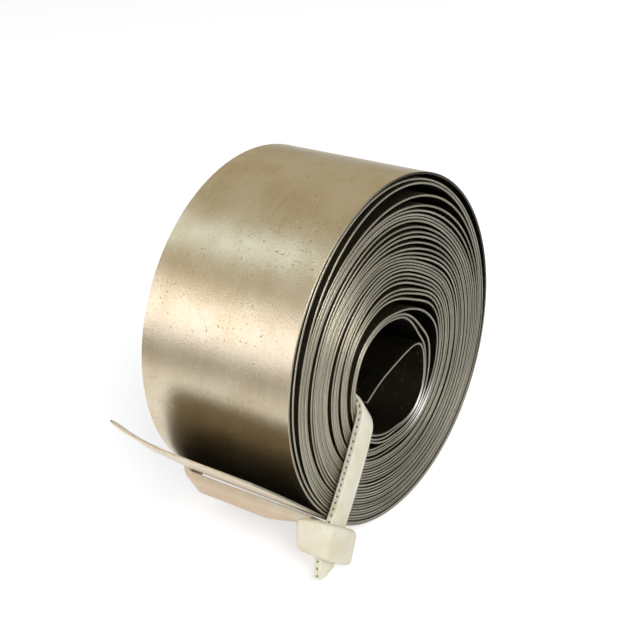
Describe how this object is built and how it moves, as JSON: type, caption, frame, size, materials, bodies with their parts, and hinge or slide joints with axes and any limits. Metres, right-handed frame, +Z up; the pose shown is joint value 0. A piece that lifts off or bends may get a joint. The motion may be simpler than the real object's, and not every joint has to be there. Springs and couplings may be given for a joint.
{
  "type": "iron strip coil",
  "caption": "Narrow bright steel strip wound into a loose open coil on its rim, with a free outer end, a bent inner end across the bore and a nylon tie that holds the turns.",
  "frame": {"origin": "on the axis of the coil's rim, halfway along the strip's width", "axes": "+Y along the coil's axis, from the end with the tie's head to the plain end; -X toward the free outer end; +Z up, with the coil lying on its rim"},
  "size_m": [0.063, 0.0314, 0.055],
  "materials": {
    "strip_steel": "satin rolled surface with fine scuffs",
    "natural_nylon": "cloudy natural nylon"
  },
  "bodies": {
    "root": {"strip_coil": "strip_steel", "cable_tie": "natural_nylon"}
  },
  "joints": []
}
